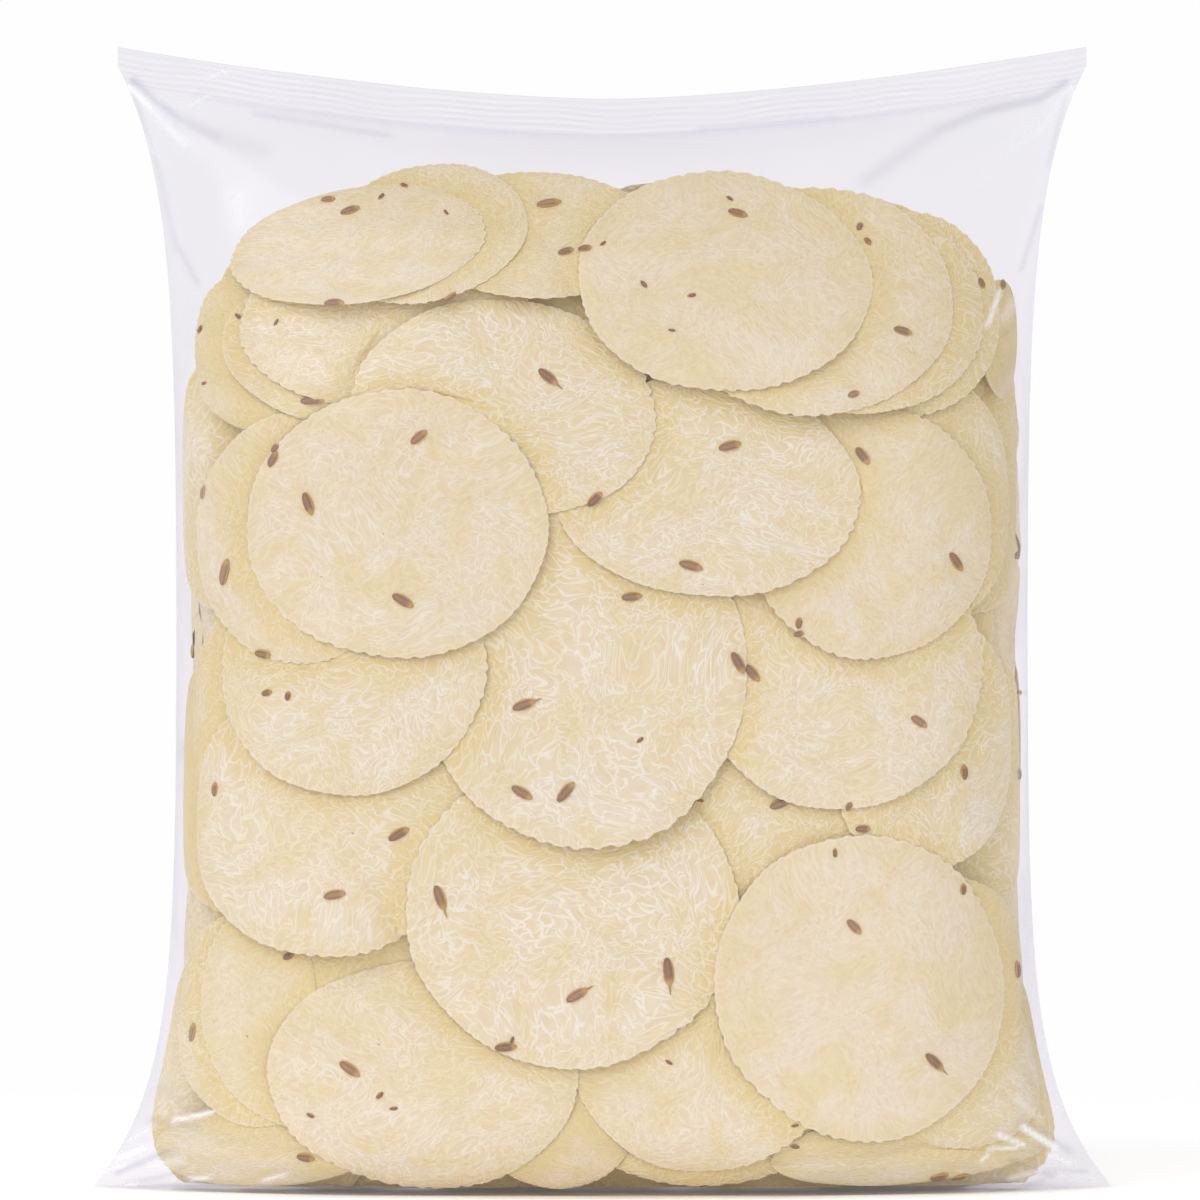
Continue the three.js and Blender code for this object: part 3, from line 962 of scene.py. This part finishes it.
side_reach = 83
side_copies = []
for side in (-1, 1):
    for row in range(7):
        for shift in (-1, 1):
            z = 34 + row * 27 + 5 * shift
            away = side_reach + draw(-3, 3)
            spot = side * away * MM, shift * 9 * MM, min(z, 169) * MM
            turn = draw(-0.1, 0.1), 0, math.pi / 2 + draw(-0.2, 0.2)
            side_copies.append((spot, turn, (draw(0.50, 0.64), 1, draw(0.85, 1.0))))
sides = copied("papads_side", papad_copies, one_papad, papad_radius, side_copies,
               draw(0, 1, len(side_copies)), "papad_tone")


def lean_on_side(mesh):
    """Bends the discs on edge to follow the film round the bag's side, 2.2 mm inside it."""
    places = vertex_places(mesh)
    side = np.sign(places[:, 0])
    z = np.clip(places[:, 2], 1.5 * MM, None)
    depth = np.clip(np.abs(places[:, 1]) * 1.4 + 4 * MM, 0, 34 * MM)
    reach = np.linspace(0, 1, 120)[None, :] * half_width(z)[:, None]
    skin = half_depth(reach, z[:, None])
    limit = np.where(skin > depth[:, None], reach, 0).max(axis=1) - 2.2 * MM
    nearness = np.abs(places[:, 0]) - side_reach * MM
    limit = np.minimum(limit, 93.5 * MM)
    limit -= 12 * MM * np.clip((z - 168 * MM) / (34 * MM), 0, 1) ** 2
    places[:, 0] = side * np.maximum(limit + nearness * 0.4 - 1 * MM, 10 * MM)
    places[:, 2] = z
    move_vertices(mesh, places)


lean_on_side(sides.data)
shown(sides)

# ----------------------------------------
# The cumin seeds: ribbed brown seeds about 5 mm long, mixed into the dough and half sunk in it,
# some with a pale tip or a short stalk, and small crumbs of broken seed.
# Place (pixels), slope (degrees), length (millimetres) and brownness of the seeds in front.
front_seeds = [
    ((350, 210), 20, 4.2, 0.5), ((334, 303), 0, 4.2, 0.6), ((450, 296), -5, 3.6, 0.4),
    ((313, 400), 5, 5.2, 0.6), ((548, 377), -40, 5.0, 0.8), ((566, 251), 20, 3.4, 0.7),
    ((585, 248), 10, 2.9, 0.7), ((738, 213), -20, 4.2, 0.5), ((903, 331), -10, 4.0, 0.5),
    ((854, 394), 20, 2.6, 0.1), ((860, 226), 60, 2.0, 0.4), ((868, 241), -60, 2.0, 0.4),
    ((982, 283), -60, 2.4, 0.6), ((1003, 284), 80, 2.2, 0.6), ((419, 437), 40, 4.2, 0.1),
    ((308, 504), -70, 5.0, 0.7), ((403, 601), -30, 5.0, 0.5), ((225, 572), 75, 5.6, 0.1),
    ((273, 459), 60, 3.6, 0.4), ((275, 448), 50, 2.2, 0.5), ((263, 654), -5, 3.6, 0.4),
    ((267, 693), 10, 2.4, 0.6), ((288, 696), 80, 2.0, 0.9), ((730, 446), 15, 4.8, 0.3),
    ((595, 499), 45, 4.0, 0.8), ((691, 566), -15, 5.0, 0.3), ((632, 597), 5, 4.2, 0.5),
    ((738, 663), -60, 5.0, 0.7), ((752, 673), -50, 4.6, 0.6), ((863, 456), -50, 4.4, 0.7),
    ((956, 562), -50, 4.6, 0.6), ((799, 623), 80, 2.4, 0.5), ((799, 634), 10, 2.2, 0.5),
    ((1006, 628), 90, 2.6, 0.6), ((215, 789), 85, 3.0, 0.2), ((399, 834), 30, 4.8, 0.7),
    ((335, 895), 10, 4.6, 0.1), ((440, 898), -70, 5.4, 0.5), ((289, 956), 20, 2.6, 0.8),
    ((524, 705), 20, 5.0, 0.4), ((522, 793), -30, 4.8, 0.3), ((566, 792), 50, 5.2, 0.6),
    ((780, 804), 20, 4.4, 0.3), ((849, 806), 60, 2.0, 0.5), ((863, 829), 0, 3.2, 0.7),
    ((919, 722), -30, 4.0, 0.1), ((964, 772), 90, 3.2, 0.7), ((1019, 774), 90, 2.4, 0.4),
    ((854, 927), -45, 4.0, 0.2), ((963, 889), 90, 2.4, 0.6), ((1017, 969), 90, 3.6, 0.7),
    ((668, 972), -85, 6.0, 0.8), ((577, 995), 30, 5.0, 0.2), ((506, 1047), 5, 4.6, 0.9),
    ((350, 1069), -35, 5.0, 0.3), ((306, 1157), -5, 3.8, 0.6), ((934, 1062), -40, 5.0, 0.8),
    ((939, 1176), 0, 4.0, 0.7), ((960, 1176), 0, 3.6, 0.7), ((193, 1032), 80, 4.0, 0.1),
    ((203, 492), 80, 3.0, 0.2), ((328, 199), 0, 3.0, 0.0), ((549, 203), 15, 5.2, 0.0),
]
front_crumbs = [
    (381, 196), (404, 185), (200, 329), (276, 322), (644, 284), (692, 295), (672, 330), (730, 198),
    (603, 243), (204, 383), (669, 1062), (835, 853), (795, 1125), (795, 1146), (394, 1108),
    (311, 1115), (380, 1095), (446, 212), (238, 316), (512, 1040), (700, 800), (640, 740),
]
tailed_seeds = {4, 37, 39, 51, 52, 56}


def seed_template(name, tail):
    """A cumin seed one unit long, its long way along X, as a spindle, with or without a stalk."""
    stations = [(-0.5, 0.0), (-0.46, 0.42), (-0.3, 0.84), (-0.05, 1.0), (0.2, 0.92), (0.38, 0.6),
                (0.47, 0.26), (0.5, 0.0)]
    if tail:
        stations[-1:] = [(0.5, 0.17), (0.68, 0.13), (0.82, 0.0)]
    around = 10
    places, faces = [(stations[0][0], 0, 0)], []
    for along, share in stations[1:-1]:
        for i in range(around):
            turn = 2 * math.pi * i / around
            rib = 1 + 0.07 * (-1) ** i
            lift = 0.06 * share * (along - 0.5) * (along > 0.5)
            places.append((along, 0.17 * share * rib * math.cos(turn),
                           0.125 * share * rib * math.sin(turn) - lift))
    places.append((stations[-1][0], 0, 0))
    for i in range(around):
        j = (i + 1) % around
        faces.append((0, 1 + j, 1 + i))
        for ring in range(len(stations) - 3):
            low = 1 + ring * around
            faces.append((low + i, low + j, low + around + j, low + around + i))
        low = 1 + (len(stations) - 3) * around
        faces.append((low + i, low + j, len(places) - 1))
    mesh = new_mesh(name, places, faces)
    keep_values(mesh, "seed_spot", places)
    return bpy.data.objects.new(name, mesh)


def seed_husk():
    """Dry husk: brown with paler ribs along it and dark seams beside its golden flanks, and straw
    yellow at the stalk end."""
    material, nodes = blank_material("seed_husk")
    brown, dark, ribbed = (0.47, 0.29, 0.16), (0.26, 0.13, 0.08), (0.44, 0.27, 0.14)
    seamed, straw = (0.19, 0.09, 0.05), (0.66, 0.42, 0.13)
    spot = nodes.attribute("seed_spot", "Vector")
    way = nodes.add("SeparateXYZ", {"Vector": spot}, None)
    turn = nodes.math("ARCTAN2", way.outputs["Z"], way.outputs["Y"])
    ribs = nodes.math("SINE", nodes.times(turn, 9.0))
    depth = nodes.math("MULTIPLY_ADD", ribs, 0.35, nodes.noise(9, 3, spot))
    flank = nodes.math("ABSOLUTE", nodes.math("COSINE", turn))
    golden = nodes.math("MAXIMUM", nodes.spread(way.outputs["X"], 0.14, 0.42),
                        nodes.spread(flank, 0.74, 0.97, top=0.8))
    paleness = nodes.add("MapRange",
                         {"Value": depth, "From Min": 0.45, "From Max": 1.0})
    colour = nodes.blend(nodes.attribute("seed_tone"), brown, dark)
    colour = nodes.blend(paleness, colour, ribbed)
    colour = nodes.blend(nodes.spread(flank, 0.42, 0.66, top=0.5), colour, seamed)
    colour = nodes.blend(golden, colour, straw)
    husk = nodes.add("BsdfPrincipled", {
        "Base Color": colour, "Roughness": 0.6, "Normal": nodes.bump(depth, 0.7, 0.0002)})
    nodes.finish(husk)
    return material


def laid_on(normal, slope):
    """The turn that lays a seed on a surface, its long way at a slope as seen from the front."""
    flow = Vector((math.cos(slope), 0, math.sin(slope)))
    flow = (flow - normal * flow.dot(normal)).normalized()
    across = normal.cross(flow)
    return Matrix((flow, across, normal)).transposed().to_euler()


seed_copies = copies_tree("seed_copies", seed_husk())
papad_surface = mesh_tree(papad_pieces[:3])
seed_sunk = 0.03 * MM
seed_sets = {kind: ([], []) for kind in ("plain", "tailed", "crumb")}


def sow(kind, hit, normal, slope, length, tone):
    """Half sinks a seed at a place. Longer seeds are plumper, and crumbs are as wide as long."""
    copies, tones = seed_sets[kind]
    spot = hit + normal * (length * MM * 0.05 - seed_sunk)
    plump = length**0.5 * (2.2 if kind == "crumb" else 1.0)
    stretch = length * 1.08, plump * 3.0, plump * 2.2
    copies.append((spot, laid_on(normal, slope), stretch))
    tones.append(tone)


def sow_seen(kind, px, slope, length, tone):
    """Sows a seed on the papad that the photograph shows at a pixel."""
    x, z = seen_at(px, 0)
    way = (Vector((x, 0, z)) - camera_place).normalized()
    hit, normal = papad_surface.ray_cast(camera_place, way)[:2]
    if hit is not None:
        sow(kind, hit, normal, math.radians(slope), length, tone)


for number, seed in enumerate(front_seeds):
    sow_seen("tailed" if number in tailed_seeds else "plain", *seed)
for px in front_crumbs:
    sow_seen("crumb", px, draw(0, 180), draw(0.6, 1.0), 0.9)

# Seeds on the papads that the photograph doesn't show, from all sides.
hidden_surface = mesh_tree(papad_pieces[3:])
hidden_seeds, well_outside = 150, 0.3
for number in range(hidden_seeds):
    turn = draw(0, math.pi)
    way = Vector((math.cos(turn), math.sin(turn), 0))
    aim = Vector((draw(-80, 80), 0, draw(8, 205))) * MM
    hit, normal = hidden_surface.ray_cast(aim + way * well_outside, -way)[:2]
    if hit is not None:
        kind = ("plain", "plain", "tailed", "crumb")[number % 4]
        length = draw(0.6, 1.2) if kind == "crumb" else draw(2.4, 5.4)
        sow(kind, hit, normal, draw(0, 3.1), length, draw(0, 1))

for kind, sown in seed_sets.items():
    template = seed_template("seed_" + kind, kind == "tailed")
    seeds = copied("seeds_" + kind, seed_copies, template, MM, *sown, "seed_tone")
    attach(seeds, "root")

# ----------------------------------------
# The stage: a pale floor that fades into the white behind it, soft lights and the camera.
floor_half, floor_drop = 3.0, 0.3 * MM
floor_corners = [(x * floor_half, y * floor_half, -floor_drop)
                 for x, y in ((-1, -1), (1, -1), (1, 1), (-1, 1))]
floor = new_piece("floor", new_mesh("floor", floor_corners, [(0, 1, 2, 3)]))


def pale_floor():
    """Pale card that fades into the white behind it, with a warm painted shadow right beside the
    bag, where it also glows less.
    """
    material, nodes = blank_material("pale_floor")
    place = nodes.add("TexCoord", {}, "Object")
    beside_bag = nodes.vector("MULTIPLY", place, (1 / 0.104, 1 / 0.052, 0))
    near = nodes.vector("LENGTH", beside_bag, output="Value")
    far = nodes.vector("LENGTH", place, output="Value")
    # Painted shadow: the card turns warm brown right beside the bag.
    tint = nodes.blend(nodes.spread(near, 0.66, 0.90), (0.92, 0.80, 0.64), (0.93, 0.93, 0.935))
    shade = nodes.add("BsdfDiffuse", {"Color": tint})
    # A glow keeps the card white; it is weaker beside the bag, which paints the contact shadow
    # darker.
    lift = nodes.add("Emission",
                     {"Strength": nodes.spread(near, 0.70, 1.15, bottom=0.09, top=0.27)})
    surface = nodes.add("AddShader", {0: shade, 1: lift})
    clear = nodes.add("BsdfTransparent", {})
    surface = nodes.mixed(nodes.spread(far, 0.16, 0.55), surface, clear)
    nodes.finish(surface)
    return material


floor.data.materials.append(pale_floor())

world = bpy.data.worlds.new("studio")
world.use_nodes = True
sky = Nodes(world.node_tree)
sky_way = sky.add("SeparateXYZ",
                  {"Vector": sky.add("TexCoord", {}, "Generated")}, None)
sky_colour = sky.blend(sky.spread(sky_way.outputs["Y"], -0.75, 0.45),
                       (0.72, 0.715, 0.73), (0.99, 0.99, 0.99))
sky_strength = sky.spread(sky_way.outputs["Z"], 0.25, 0.95, bottom=1.0, top=0.72)
backdrop = world.node_tree.nodes["Background"]
world.node_tree.links.new(sky_colour, backdrop.inputs["Color"])
world.node_tree.links.new(sky_strength, backdrop.inputs["Strength"])
bpy.context.scene.world = world
bpy.context.scene.view_settings.view_transform = "Standard"


def aimed(holder, place, target):
    holder.location = place
    holder.rotation_euler = (target - place).to_track_quat("-Z", "Y").to_euler()


def soft_light(name, place, target, size, power):
    lamp = bpy.data.lights.new(name, "AREA")
    lamp.shape = "RECTANGLE"
    lamp.size, lamp.size_y = size
    lamp.energy = power
    aimed(new_piece(name, lamp), Vector(place), Vector(target))


soft_light("key", (-0.8, -1.3, 1.05), (0, 0, 0.14), (1.5, 1.5), 12.0)
soft_light("fill", (0.7, -1.6, 0.35), (0, 0, 0.14), (1.2, 0.7), 2.2)

sensor_mm = 36
lens = bpy.data.cameras.new("camera")
lens.sensor_width = sensor_mm
lens.lens = sensor_mm * -camera_place[1] / (frame_px * px_size)
lens.clip_end = 20
camera = new_piece("camera", lens)
middle_px = frame_px / 2
image_middle = Vector(((middle_px - middle_column_px) * px_size, 0,
                       (floor_row_px - middle_px) * px_size))
aimed(camera, camera_place, image_middle)
bpy.context.scene.camera = camera

bpy.context.view_layer.update()
